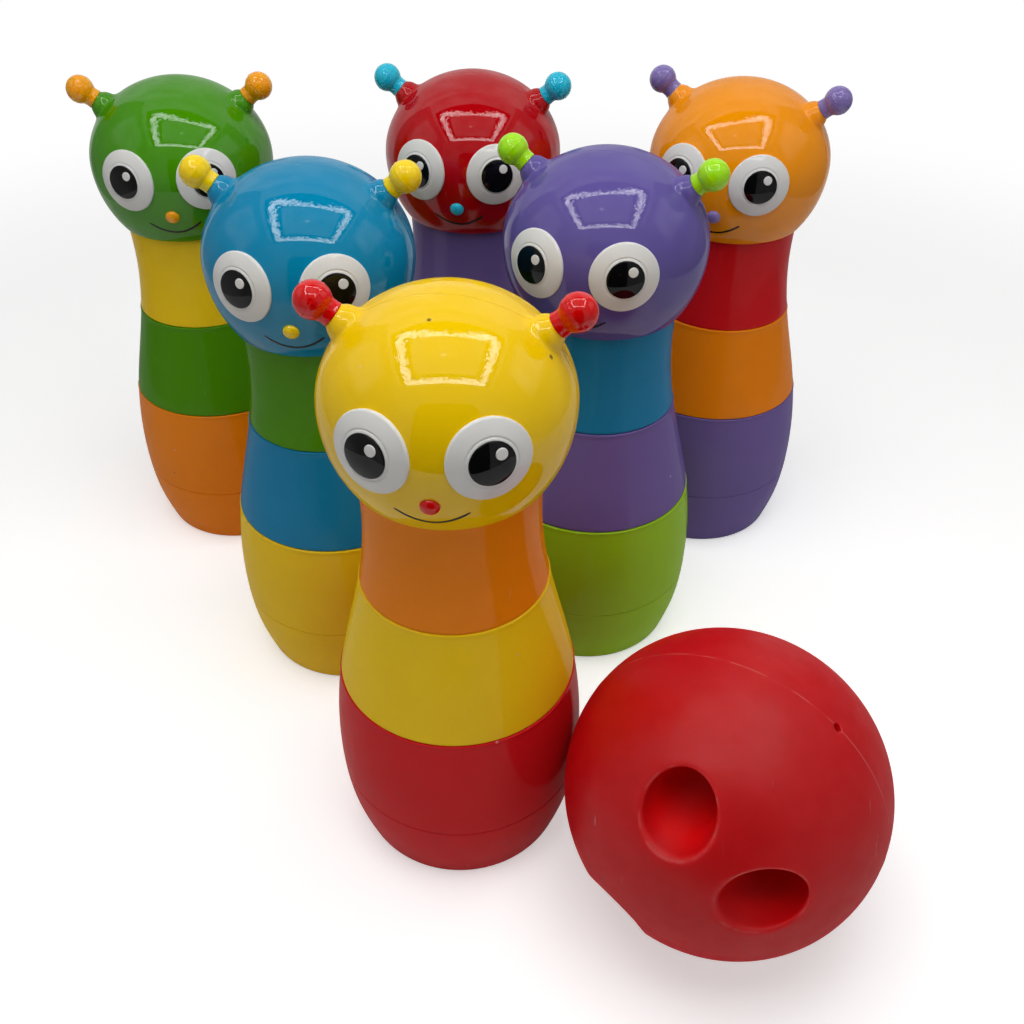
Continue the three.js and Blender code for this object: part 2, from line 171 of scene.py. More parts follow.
# Closed skins from grids of points: each grid's columns close on themselves, and its end rows close up.
def makePiece(name, grids, material, smoothAngle=50):
    points, quads, first = [], [], 0
    for grid in grids:
        rows, cols = grid.shape[:2]
        r, c = np.meshgrid(np.arange(rows - 1), np.arange(cols), indexing="ij")
        after = (c + 1) % cols
        quad = np.stack([r * cols + c, r * cols + after, (r + 1) * cols + after, (r + 1) * cols + c], axis=-1)
        quads.append(quad.reshape(-1, 4) + first)
        points.append(grid.reshape(-1, 3))
        first += rows * cols
    mesh = bpy.data.meshes.new(name)
    mesh.from_pydata(np.concatenate(points) * mm, [], np.concatenate(quads).tolist())
    work = bmesh.new()
    work.from_mesh(mesh)
    bmesh.ops.remove_doubles(work, verts=work.verts, dist=weldDistance)
    bmesh.ops.dissolve_degenerate(work, edges=work.edges, dist=weldDistance / 2)
    bmesh.ops.recalc_face_normals(work, faces=work.faces)
    work.to_mesh(mesh)
    work.free()
    mesh.shade_smooth()
    mesh.set_sharp_from_angle(angle=math.radians(smoothAngle))
    mesh.materials.append(material)
    return addObject(name, mesh)


# The pin's body, as its maker's drawing would give it
body = {
    "middleSeam": 71.4, "neckSeam": 110.3, "headSeat": 148.6, "capSeam": 30.3, "foot": 34.4,
    "stations": [(36.4, 2), (39.7, 14), (41.8, 34), (38.7, 71.4), (29.6, 110.3), (26.8, 136), (27.1, 148.6)],
    "edge": 0.5, "lip": 0.3, "lipRise": 1.8, "gap": 0.16, "capEdge": 0.2, "capGap": 0.08,
    "sides": 128, "curvePoints": 1600, "baseRows": 60, "bandRows": 44, "capRows": 22, "rollPoints": 7,
    "lowPoints": 5, "topPoints": 6, "slopeStep": 0.5,
}
bodyCurve = splineThrough(body["stations"], body["curvePoints"])


def bodyRadius(height):
    return np.interp(height, bodyCurve[:, 1], bodyCurve[:, 0])


# Flat, rounded edge, the body's curve with a lip that swells under its top, rounded edge, flat.
def bandProfile(bottom, top, lowEdge, lip, count):
    edge = body["edge"]
    height = np.linspace(bottom + lowEdge, top - edge, count)
    swell = lip * smoothStep((height - (top - body["lipRise"])) / body["lipRise"])
    side = np.stack([bodyRadius(height) + swell, height], axis=1)
    low = arc((side[0, 0] - lowEdge, bottom + lowEdge), lowEdge, -90, 0, body["lowPoints"])[:-1]
    high = arc((side[-1, 0] - edge, top - edge), edge, 0, 90, body["topPoints"])[1:]
    return np.concatenate([[[0, bottom]], low, side, high, [[0, top]]])


# The foot: a flat that rolls up into the body's curve, as far as the cap's seam.
def capProfile(top):
    edge, height = body["stations"][0]
    lean = (bodyRadius(height + body["slopeStep"]) - bodyRadius(height)) / body["slopeStep"]
    roll = bezier([(body["foot"], 0), (edge - height * lean, 0), (edge, height)], body["rollPoints"])
    corner = body["capEdge"]
    rest = np.linspace(height, top - corner, body["capRows"])[1:]
    side = np.stack([bodyRadius(rest), rest], axis=1)
    high = arc((side[-1, 0] - corner, top - corner), corner, 0, 90, body["lowPoints"])[1:]
    return np.concatenate([[[0, 0]], roll, side, high, [[0, top]]])


# The head: widest above its rim, and flatter on its crown than on its skirt
head = {
    "radius": 36.1, "rim": 28.3, "skirt": 23.9, "crown": 31.5, "blend": 13.0, "rimEdge": 0.9,
    "seamHalfGap": 0.035, "seamEdge": 0.13, "seamSteps": 4, "seamDepth": 1.2,
    "columns": 84, "skirtRows": 26, "crownRows": 40, "rimPoints": 6, "reachRounds": 12,
}
headCentre = np.array([0, 0, body["headSeat"] + head["skirt"]])
skirtDepth = head["skirt"] / math.sqrt(1 - (head["rim"] / head["radius"]) ** 2)


# 1 / half-height squared: the skirt's below the widest circle, the crown's above, blended across it.
def headBend(rise):
    share = smoothStep((rise + head["blend"]) / (2 * head["blend"]))
    return (1 - share) / skirtDepth ** 2 + share / head["crown"] ** 2


# Half ellipse: r = a sqrt(1 - rise^2 * bend).
def headRadius(rise):
    return head["radius"] * np.sqrt(np.maximum(0, 1 - rise ** 2 * headBend(rise)))


# Distance from the head's middle to its surface, where (t cos e / a)^2 + (t sin e)^2 * bend = 1.
def headReach(direction):
    up = direction[..., 2]
    level = np.sqrt(np.maximum(0, 1 - up ** 2))
    reach = np.full(up.shape, head["radius"])
    for _ in range(head["reachRounds"]):
        reach = 1 / np.sqrt((level / head["radius"]) ** 2 + up ** 2 * headBend(reach * up))
    return reach


# Angles of half a turn that stop short of the seam plane, and how deep the rounded edge sinks at each.
def seamColumns(radius, count):
    beta = np.linspace(0, np.pi / 2, head["seamSteps"])
    offset = head["seamHalfGap"] + head["seamEdge"] * (1 - np.sin(beta))
    sink = head["seamEdge"] * (1 - np.cos(beta))
    short = np.arcsin(np.minimum(1, offset / np.maximum(radius[:, None], tiny)))
    share = np.linspace(0, 1, count)[1:-1]
    middle = short[:, :1] + (np.pi - 2 * short[:, :1]) * share
    angles = np.concatenate([short[:, -1:], short[:, ::-1], middle, np.pi - short, np.pi - short[:, -1:]],
                            axis=1)
    sinks = np.concatenate([[head["seamDepth"]], sink[::-1], np.zeros(count - 2), sink, [head["seamDepth"]]])
    return angles, sinks


# Half of the head's solid of revolution, D-shaped at each height, its edges rounded into the seam.
def headShell(half):
    low = -head["skirt"]
    lift = head["rimEdge"]
    top = (float(headRadius(low + lift)), low + lift)
    roll = bezier([(head["rim"] - lift, low), (head["rim"], low), top], head["rimPoints"])
    skirt = np.linspace(low + lift, 0, head["skirtRows"])[1:]
    climb = np.linspace(0, np.pi / 2, head["crownRows"])[1:]
    rise = np.concatenate([skirt, head["crown"] * np.sin(climb)])
    profile = np.concatenate([[[0, low]], roll, np.stack([headRadius(rise), rise], axis=1)])
    tangent = np.gradient(profile, axis=0)
    tangent[0], tangent[-1] = (1, 0), (-1, 0)
    normal = unit(np.stack([tangent[:, 1], -tangent[:, 0]], axis=1))
    angles, sinks = seamColumns(profile[:, 0], head["columns"])
    radius = profile[:, :1] - normal[:, :1] * sinks
    height = profile[:, 1:] - normal[:, 1:] * sinks + headCentre[2]
    return np.stack([radius * np.cos(angles), half * radius * np.sin(angles), height], axis=2)


# Antennae: a stub that flares out of the head, and a ball-ended tip pushed into it
antenna = {
    "tilt": 39, "rootAngle": 14.2, "stubRadius": 3.75, "stubHeight": 3.9, "stubEdge": 0.25,
    "rootPull": 4.3, "topPull": 3.0, "topLean": 2.7, "rootLift": 0.012, "rootDepth": 6, "rootStep": 1e-3,
    "edgeTurns": (30, 60, 90), "rows": 18, "columns": 40,
    "standoff": 6.6, "ball": 5.3, "collar": 3.75, "neck": 3.35, "collarLength": 1.9, "gap": 0.07,
    "tipEdge": 0.2, "ridge": 0.13, "ridgeWidth": 0.2, "waistOut": 0.15, "waistShare": 0.9,
    "footPoints": 5, "waistPoints": 12, "ballPoints": 64, "ballStart": 3, "sides": 72,
}
tilt = math.radians(antenna["tilt"])
crownReach = 1 / math.hypot(math.cos(tilt) / head["radius"], math.sin(tilt) / head["crown"])
stubEnd = crownReach + antenna["stubHeight"]


# The antenna's own direction, and the level-most direction across it, in the plane of both antennae.
def antennaAxes(side):
    along = np.array([side * math.cos(tilt), 0, math.sin(tilt)])
    across = np.array([-side * math.sin(tilt), 0, math.cos(tilt)])
    return along, across


# Half of a flare: from each point of a ring on the head, a cubic curve leaves along the surface towards the
# antenna's axis and ends along it, on the stub's rim.
def stubShell(side, half):
    along, across = antennaAxes(side)

    def around(angle):
        return np.cos(angle)[..., None] * across + half * np.sin(angle)[..., None] * np.array([0, 1, 0])

    def onHead(tiltOff, out):
        direction = math.cos(tiltOff) * along + math.sin(tiltOff) * out
        return headCentre + direction * headReach(direction)[..., None]

    rows = antenna["rows"]
    t = np.linspace(0, 1, rows)
    root = math.radians(antenna["rootAngle"])
    rim = stubEnd - antenna["stubEdge"]

    def flare(t, angle):
        out = around(angle)
        start = onHead(root, out)
        inward = unit(onHead(root - antenna["rootStep"], out) - start)
        start = start + antenna["rootLift"] * (start - headCentre) / crownReach
        end = headCentre + rim * along + antenna["stubRadius"] * out
        first = start + antenna["rootPull"] * inward
        second = end - antenna["topPull"] * along + antenna["topLean"] * out
        t = t[..., None]
        rest = 1 - t
        return start * rest ** 3 + 3 * first * t * rest ** 2 + 3 * second * t ** 2 * rest + end * t ** 3

    straight = flare(t, np.zeros(rows)) - headCentre
    rowRadius = np.abs(straight @ across)
    angles, sinks = seamColumns(rowRadius, antenna["columns"])
    grid = flare(np.broadcast_to(t[:, None], angles.shape), angles)
    rowStep = np.gradient(grid, axis=0)
    columnStep = np.gradient(grid, axis=1)
    columnStep[:, 0], columnStep[:, -1] = columnStep[:, 2], columnStep[:, -3]
    normal = unit(np.cross(columnStep, rowStep))
    outward = np.sum(normal * around(angles), axis=2, keepdims=True)
    outward = outward + np.sum(normal * along, axis=2, keepdims=True)
    grid = grid - np.sign(outward) * normal * sinks[:, None]
    cap = [np.broadcast_to(headCentre + (crownReach - antenna["rootDepth"]) * along, grid[:1].shape), grid]
    for turn in np.radians(antenna["edgeTurns"]):
        inner = antenna["stubRadius"] - antenna["stubEdge"] * (1 - math.cos(turn)) - sinks[:, None]
        out = around(angles[-1])
        cap.append((headCentre + (rim + antenna["stubEdge"] * math.sin(turn)) * along + inner * out)[None])
    cap.append(np.broadcast_to(headCentre + stubEnd * along, grid[:1].shape))
    return np.concatenate(cap)


# Collar, drawn-in neck and ball, revolved; a fine ridge runs round the ball where its mould closed.
def antennaTip(side):
    seat = stubEnd + antenna["gap"]
    centre = stubEnd + antenna["standoff"]
    neckRise = -math.sqrt(antenna["ball"] ** 2 - antenna["neck"] ** 2)
    start = math.degrees(math.atan2(neckRise, antenna["neck"]))
    end = arc((0, centre), antenna["ball"], start, 90, antenna["ballPoints"])[antenna["ballStart"]:]
    end[:, 0] += antenna["ridge"] * np.exp(-((end[:, 1] - centre) / antenna["ridgeWidth"]) ** 2)
    end[-1, 0] = 0
    edge = antenna["tipEdge"]
    foot = arc((antenna["collar"] - edge, seat + edge), edge, -90, 0, antenna["footPoints"])
    pull = (antenna["neck"] + antenna["waistOut"], seat + antenna["collarLength"] * antenna["waistShare"])
    waist = bezier([foot[-1], pull, end[0]], antenna["waistPoints"])[1:-1]
    profile = np.concatenate([[[0, seat]], foot, waist, end])
    grid = lathe(profile, antenna["sides"])
    return headCentre + grid @ turnTo(antennaAxes(side)[0]).T


# The face is plain on purpose: round eye plates, round pupils, a button nose and a short smile
face = {
    "plateRadius": 11.5, "heading": 25.5, "elevation": 5, "plateProud": 0.95, "plateDome": 1.1,
    "plateEdge": 0.55, "plateDepth": 1.6, "plateRows": 70, "discRows": 16, "discPoints": 7, "sides": 96,
    "pupilRadius": 6.0, "pupilProud": 0.34, "pupilEdge": 0.3, "pupilFoot": 0.4,
    "grooveRadius": 6.75, "grooveWidth": 0.22, "grooveDepth": 0.22,
    "glintRadius": 1.55, "glintProud": 0.62, "glintEdge": 0.25, "glintOff": (2.2, 2.5),
    "noseRadius": 2.7, "noseProud": 1.8, "noseElevation": -17, "noseDepth": 1.2, "nosePoints": 14,
    "smileHalfAngle": 17.5, "smileLow": -29.5, "smileLift": 7.5, "smileWidth": 1.05, "smileProud": 0.14,
    "smileRows": 72, "smileSides": 14, "smileEnds": 14,
}


# Unit vector from the head's middle: heading off straight ahead to the right, and elevation, in degrees.
def faceDirection(heading, elevation):
    h, e = np.radians(heading), np.radians(elevation)
    return np.stack([np.cos(e) * np.sin(h), -np.cos(e) * np.cos(h), np.sin(e) + 0 * h], axis=-1)


# How much farther than the head's own curve an eye plate rises: a parabola, highest in the middle.
def domeRise(radius):
    return face["plateDome"] * np.maximum(0, 1 - (radius / face["plateRadius"]) ** 2)


# Carries a profile of (distance from the axis, height over the head's surface) round a direction.
def onHeadDisc(direction, profile):
    turn = turnTo(direction)
    angle = roundTurn(face["sides"])
    away = np.arcsin(profile[:, :1] / head["radius"])
    local = [np.sin(away) * np.cos(angle), np.sin(away) * np.sin(angle), np.cos(away) + 0 * angle]
    direction = np.stack(local, axis=2) @ turn.T
    reach = headReach(direction) + profile[:, 1:]
    return headCentre + direction * reach[..., None]


# Sunk foot, wall, rounded shoulder and a top that follows the head.
def discProfile(radius, proud, edge, depth, count=face["discRows"]):
    wall = arc((radius - edge, proud - edge), edge, 0, 90, face["discPoints"])
    top = np.linspace(radius - edge, 0, count)[1:]
    return np.concatenate([[[0, -depth], [radius, -depth]], wall, np.stack([top, 0 * top + proud], axis=1)])


# The disc, with a fine groove round the pupil's seat.
def eyePlateProfile():
    profile = discProfile(face["plateRadius"], face["plateProud"], face["plateEdge"], face["plateDepth"],
                          face["plateRows"])
    off = (profile[:, 0] - face["grooveRadius"]) / face["grooveWidth"]
    top = profile[:, 1] > 0
    profile[:, 1] += np.where(top, domeRise(profile[:, 0]) - face["grooveDepth"] * np.exp(-off ** 2), 0)
    return profile


def noseProfile():
    angle = np.linspace(0, np.pi / 2, face["nosePoints"])
    dome = np.stack([face["noseRadius"] * np.cos(angle), face["noseProud"] * np.sin(angle)], axis=1)
    dome[-1, 0] = 0
    return np.concatenate([[[0, -face["noseDepth"]], [face["noseRadius"], -face["noseDepth"]]], dome])


# A flat oval section carried along an arc on the head: elevation = low + lift * (heading / half)^2.
def smileGrid():
    share = np.linspace(-1, 1, face["smileRows"])
    heading = share * face["smileHalfAngle"]
    path = faceDirection(heading, face["smileLow"] + face["smileLift"] * share ** 2)
    centre = path * headReach(path)[:, None]
    across = np.cross(unit(np.gradient(centre, axis=0)), path)
    fade = np.sqrt(np.maximum(0, 1 - np.abs(share) ** face["smileEnds"]))
    angle = roundTurn(face["smileSides"])
    wide = face["smileWidth"] / 2 * fade[:, None] * np.cos(angle)
    high = face["smileProud"] * fade[:, None] * np.sin(angle)
    return headCentre + centre[:, None] + across[:, None] * wide[..., None] + path[:, None] * high[..., None]


# Ball: soft vinyl, two finger cups and a thumb cup parallel to its pole, and a vent on its parting line
ball = {
    "radius": 50.8, "heading": -121.7, "poleElevation": 4.9, "roll": 147.8,
    "cup": 10.4, "flare": 2.0, "rimDrop": 2.2, "depth": 25, "shoulder": 0.75,
    "cups": ((27.3, 36.5), (27.3, -36.5), (29.5, 180)),  # offset from the pole's axis, heading round it
    "vent": 1.4, "ventDepth": 2.6, "ventHeading": 0, "ventRim": 1.8,
    "ridge": 0.09, "ridgeWidth": 0.24,
    "flash": 0.55, "flashSlow": 0.3, "flashFast": 0.15, "flashWaves": (3, 7, 23),
    "columns": 400, "cupFrom": 14, "cupTo": 58, "poleRows": 16, "cupRows": 120, "otherRows": 84,
    "ventLines": 20, "ventReach": 2.3, "rollPoints": 60, "wallPoints": 200, "curvePoints": 400,
    "ventRollPoints": 10, "ventCurvePoints": 200,
}


# Pole up, rolled about it, leaned over and turned to its heading, as the drawing has it.
def ballTurn():
    heading = Matrix.Rotation(math.radians(ball["heading"]), 3, "Z")
    lean = Matrix.Rotation(math.radians(90 - ball["poleElevation"]), 3, "Y")
    roll = Matrix.Rotation(math.radians(ball["roll"]), 3, "Z")
    return np.array(heading @ lean @ roll)


# The same path with its points evenly spaced, and its length.
def evenly(points, count):
    length = np.concatenate([[0], np.cumsum(np.linalg.norm(np.diff(points, axis=0), axis=1))])
    t = np.linspace(0, length[-1], count)
    return np.stack([np.interp(t, length, points[:, k]) for k in (0, 1)], axis=1), length[-1]


# Radius and depth under the skin from the rim to the middle of the floor: a roll that leaves the skin
# without a crease, and then a quarter of an oval.
def cupCurve():
    throat, drop = ball["cup"], ball["rimDrop"]
    roll = bezier([(throat + ball["flare"], 0), (throat, 0), (throat, drop)], ball["rollPoints"])
    angle = np.linspace(np.pi / 2, 0, ball["wallPoints"])[1:]
    wall = np.stack([throat * np.sin(angle), drop + (ball["depth"] - drop) * np.cos(angle)], axis=1)
    return evenly(np.concatenate([roll, wall]), ball["curvePoints"])


# Where the skin inside a hole's rim goes, as the two measures of the hole's curve there. Near the rim the
# points keep their spacing, and farther in they spread out.
def drawnAlong(off, rim, curve, length):
    x = np.clip(1 - off / rim, 0, 1)
    start = rim / length
    at = (start * x + (1 - start) * x ** 2) * (len(curve) - 1)
    return [np.interp(at, np.arange(len(curve)), curve[:, k]) for k in (0, 1)]


# Draws the skin inside a cup's rim down along the cup's curve. The rim follows the skin's height at each
# point, and that share fades with depth, so the floor stays square to the pole's axis.
def sinkCup(points, offset, heading):
    full = ball["radius"]
    turn = math.radians(heading)
    middle = offset * np.array([math.cos(turn), math.sin(turn)])
    across = points[..., :2] - middle
    off = np.linalg.norm(across, axis=-1)
    rim = ball["cup"] + ball["flare"]
    radius, depth = drawnAlong(off, rim, *cupCurve())
    spot = middle + across / np.maximum(off, tiny)[..., None] * radius[..., None]
    skin = np.sqrt(np.maximum(0, full ** 2 - np.sum(spot ** 2, axis=-1)))
    level = math.sqrt(full ** 2 - offset ** 2)
    share = np.clip((ball["depth"] - depth) / (ball["depth"] - ball["rimDrop"]), 0, 1)
    sunk = np.concatenate([spot, (level - depth + share * (skin - level))[..., None]], axis=-1)
    return np.where(((off < rim) & (points[..., 2] > 0))[..., None], sunk, points)


# A pin-prick across the parting line: the skin inside its mouth is drawn down a rounded edge and wall.
def sinkVent(points):
    full, mouth, hole = ball["radius"], ball["ventRim"], ball["vent"]
    turn = math.radians(ball["ventHeading"])
    axis = np.array([math.cos(turn), math.sin(turn), 0])
    top = math.sqrt(full ** 2 - mouth ** 2)
    roll = bezier([(mouth, top), (hole, top), (hole, top - (mouth - hole))], ball["ventRollPoints"])
    floor = top - ball["ventDepth"]
    curve = evenly(np.concatenate([roll, [(hole, floor), (0, floor)]]), ball["ventCurvePoints"])
    along = points @ axis
    outward = points - along[..., None] * axis
    off = np.linalg.norm(outward, axis=-1)
    inside = (off < mouth) & (along > 0)
    radius, height = drawnAlong(off, mouth, *curve)
    sunk = outward / np.maximum(off, tiny)[..., None] * radius[..., None] + height[..., None] * axis
    return np.where(inside[..., None], sunk, points)


# Sphere in polar angle and heading, with closer lines over the cups and at the vent.
def ballGrid():
    full = ball["radius"]
    vent = math.degrees(ball["ventReach"] / full)
    few, close = ball["otherRows"] // 3, ball["ventLines"] + 1

    # The angles of each stretch, from, to and how many. Its last one is left to the next stretch.
    def lines(*stretches):
        return np.concatenate([np.linspace(*stretch)[:-1] for stretch in stretches])

    polar = lines((0, ball["cupFrom"], ball["poleRows"]), (ball["cupFrom"], ball["cupTo"], ball["cupRows"]),
                  (ball["cupTo"], 90 - vent, few), (90 - vent, 90 + vent, close), (90 + vent, 180, 2 * few))
    polar = np.append(polar, 180)
    around = lines((vent, 360 - vent, ball["columns"]), (-vent, vent, close)) + ball["ventHeading"]
    p, a = np.meshgrid(np.radians(polar), np.radians(around), indexing="ij")
    points = full * np.stack([np.sin(p) * np.cos(a), np.sin(p) * np.sin(a), np.cos(p)], axis=2)
    slow, quick, ripple = ball["flashWaves"]
    wander = (ball["flash"] + ball["flashSlow"] * np.sin(slow * a + 1) * np.sin(quick * a)
              + ball["flashFast"] * np.sin(ripple * a))
    flash = np.exp(-(points[..., 2] / ball["ridgeWidth"]) ** 2) * wander
    points = points * (1 + ball["ridge"] * flash / full)[..., None]
    for offset, heading in ball["cups"]:
        points = sinkCup(points, offset, heading)
    return sinkVent(points)


# Materials

# A colour as it looks on screen, as the light that it gives back.
def toLinear(shade):
    c = np.array(shade)
    light = np.where(c <= 0.04045, c / 12.92, ((c + 0.055) / 1.055) ** 2.4)
    return (*[float(x) for x in light], 1.0)


def newGroup(name, inputs, outputs):
    group = bpy.data.node_groups.new(name, "ShaderNodeTree")
    for label, kind, value in inputs:
        socket = group.interface.new_socket(label, in_out="INPUT", socket_type=kind)
        if value is not None:
            socket.default_value = value
    for label, kind in outputs:
        group.interface.new_socket(label, in_out="OUTPUT", socket_type=kind)
    return group, group.nodes.new("NodeGroupInput").outputs, group.nodes.new("NodeGroupOutput").inputs


def emptyTree(owner):
    owner.use_nodes = True
    owner.node_tree.nodes.clear()
    return owner.node_tree


# Short forms for adding nodes to a tree and joining them.
class Wiring:
    def __init__(self, tree):
        self.tree = tree

    def finish(self, shader, kind="ShaderNodeOutputMaterial"):
        self.tree.links.new(shader.outputs[0], self.add(kind).inputs["Surface"])

    def put(self, socket, value):
        if isinstance(value, bpy.types.NodeSocket):
            self.tree.links.new(value, socket)
        elif value is not None:
            socket.default_value = value

    def add(self, kind, values=None, **settings):
        node = self.tree.nodes.new(kind)
        for key, value in settings.items():
            setattr(node, key, value)
        for key, value in (values or {}).items():
            self.put(node.inputs[key], value)
        return node

    def math(self, operation, a, b=None, clamp=False):
        values = {0: a} if b is None else {0: a, 1: b}
        return self.add("ShaderNodeMath", values, operation=operation, use_clamp=clamp).outputs[0]

    def plus(self, a, b, clamp=False):
        return self.math("ADD", a, b, clamp)

    def minus(self, a, b):
        return self.math("SUBTRACT", a, b)

    def times(self, a, b):
        return self.math("MULTIPLY", a, b)

    def larger(self, a, b):
        return self.math("MAXIMUM", a, b)

    def size(self, a):
        return self.math("ABSOLUTE", a)

    def vectorMath(self, operation, a, b=None):
        values = {0: a} if b is None else {0: a, 1: b}
        outputs = self.add("ShaderNodeVectorMath", values, operation=operation).outputs
        return outputs[0] if operation in ("SUBTRACT", "CROSS_PRODUCT") else outputs["Value"]

    def noise(self, vector, scale, detail=2.0, roughness=0.5):
        values = {"Vector": vector, "Scale": scale, "Detail": detail, "Roughness": roughness}
        return self.add("ShaderNodeTexNoise", values).outputs["Fac"]

    # Maps low..high to toLow..toHigh smoothly, and holds the ends.
    def spread(self, value, low, high, toLow=0.0, toHigh=1.0):
        values = {"Value": value, "From Min": low, "From Max": high, "To Min": toLow, "To Max": toHigh}
        return self.add("ShaderNodeMapRange", values, interpolation_type="SMOOTHSTEP").outputs["Result"]

    def blend(self, factor, a, b, mode="MIX"):
        node = self.add("ShaderNodeMix", data_type="RGBA", blend_type=mode, clamp_factor=True)
        self.put(node.inputs[0], factor)
        self.put(node.inputs[6], a)
        self.put(node.inputs[7], b)
        return node.outputs[2]

    def stretch(self, vector, scale, turn=(0, 0, 0)):
        values = {"Vector": vector, "Scale": scale, "Rotation": turn}
        return self.add("ShaderNodeMapping", values).outputs["Vector"]


# The patterns in every plastic's skin. Scales and cells are repeats in a metre. A pattern fades between two
# values, and where there are four, the last two are what it fades from and to.
wear = {
    "cloudScale": 32.0, "hazeScale": 140.0, "hazeShare": 0.4, "hazeRough": 0.10,
    "hazeFilm": (0.35, 0.65, 0.92, 1.08),
    "paleCells": 150.0, "paleChosen": (0.965, 0.97), "paleSize": (0.05, 0.09), "paleShown": 0.55,
    "paleShade": (0.80, 0.74, 0.68, 1), "paleHeight": 0.5,
    "darkCells": 120.0, "darkChosen": (0.98, 0.985), "darkSize": (0.04, 0.08), "darkShown": 0.9,
    "darkShade": (0.05, 0.03, 0.02, 1), "darkStretch": (1.1, 0.9, 1.0), "darkTurn": (0.4, 0.7, 0.2),
    "hairStretch": (900.0, 60.0, 90.0), "hairTurn": (0.3, 0.5, 0.9), "hairs": (0.70, 0.76),
    "patchScale": 45.0, "patches": (0.52, 0.66), "scuffShown": 0.22, "scuffShade": (0.85, 0.80, 0.78, 1),
    "scuffRough": 0.25, "scuffFilm": 0.6, "scuffDepth": 0.25, "speckRough": 0.3, "leastFilm": 0.1,
    "grainScale": 1400.0, "grainHeight": 0.12, "waveScale": 70.0, "waveHeight": 0.6,
}


# Moulded plastic: clouded colour, dust specks, hairline scuffs that dull the gloss, and fine grain.
def buildMouldedSkin():
    inputs = [("Vector", "NodeSocketVector", None), ("Colour", "NodeSocketColor", (0.8, 0.8, 0.8, 1)),
              ("Roughness", "NodeSocketFloat", 0.3), ("Mottle", "NodeSocketFloat", 0.05),
              ("Film", "NodeSocketFloat", 0.4), ("Specks", "NodeSocketFloat", 0.5),
              ("Scuffs", "NodeSocketFloat", 0.5), ("Grain", "NodeSocketFloat", 0.5)]
    outputs = [("Colour", "NodeSocketColor"), ("Roughness", "NodeSocketFloat"), ("Film", "NodeSocketFloat"),
               ("Height", "NodeSocketFloat")]
    group, given, result = newGroup("mouldedSkin", inputs, outputs)
    w = Wiring(group)
    at = given["Vector"]

    def specksOf(kind, vector, channel):
        cells = w.add("ShaderNodeTexVoronoi", {"Vector": vector, "Scale": wear[kind + "Cells"]}, feature="F1")
        shade = w.add("ShaderNodeSeparateColor", {0: cells.outputs["Color"]}).outputs[channel]
        chosen = w.spread(shade, *wear[kind + "Chosen"])
        return w.times(chosen, w.spread(cells.outputs["Distance"], *wear[kind + "Size"], 1.0, 0.0))

    cloud = w.noise(at, wear["cloudScale"], 3.0)
    haze = w.noise(at, wear["hazeScale"])
    tone = w.minus(w.plus(cloud, w.times(haze, wear["hazeShare"])), (1 + wear["hazeShare"]) / 2)
    tone = w.plus(1.0, w.times(w.times(tone, 2.0), given["Mottle"]))
    grey = w.add("ShaderNodeCombineColor", {0: tone, 1: tone, 2: tone}).outputs[0]
    clouded = w.blend(1.0, given["Colour"], grey, "MULTIPLY")
    pale = w.times(specksOf("pale", at, 0), given["Specks"])
    dark = w.times(specksOf("dark", w.stretch(at, wear["darkStretch"], wear["darkTurn"]), 1),
                   w.times(given["Specks"], wear["darkShown"]))
    hairs = w.spread(w.noise(w.stretch(at, wear["hairStretch"], wear["hairTurn"]), 1.0), *wear["hairs"])
    patches = w.spread(w.noise(at, wear["patchScale"]), *wear["patches"])
    scuff = w.times(w.times(hairs, patches), given["Scuffs"])
    rubbed = w.blend(w.times(scuff, wear["scuffShown"]), clouded, wear["scuffShade"])
    dusted = w.blend(w.times(pale, wear["paleShown"]), rubbed, wear["paleShade"])
    w.put(result["Colour"], w.blend(dark, dusted, wear["darkShade"]))
    rough = w.plus(given["Roughness"], w.times(w.minus(haze, 0.5), wear["hazeRough"]))
    rough = w.plus(rough, w.times(scuff, wear["scuffRough"]))
    w.put(result["Roughness"], w.plus(rough, w.times(w.plus(pale, dark), wear["speckRough"]), clamp=True))
    worn = w.plus(w.times(scuff, wear["scuffFilm"]), w.larger(pale, dark))
    kept = w.minus(w.spread(haze, *wear["hazeFilm"]), worn)
    w.put(result["Film"], w.times(given["Film"], w.larger(kept, wear["leastFilm"])))
    fine = w.times(w.noise(at, wear["grainScale"]), given["Grain"])
    wavy = w.times(w.noise(at, wear["waveScale"], 1.0), wear["waveHeight"])
    height = w.plus(w.times(fine, wear["grainHeight"]), wavy)
    height = w.minus(height, w.times(scuff, wear["scuffDepth"]))
    w.put(result["Height"], w.plus(height, w.times(pale, wear["paleHeight"])))
    return group


mouldedSkin = buildMouldedSkin()


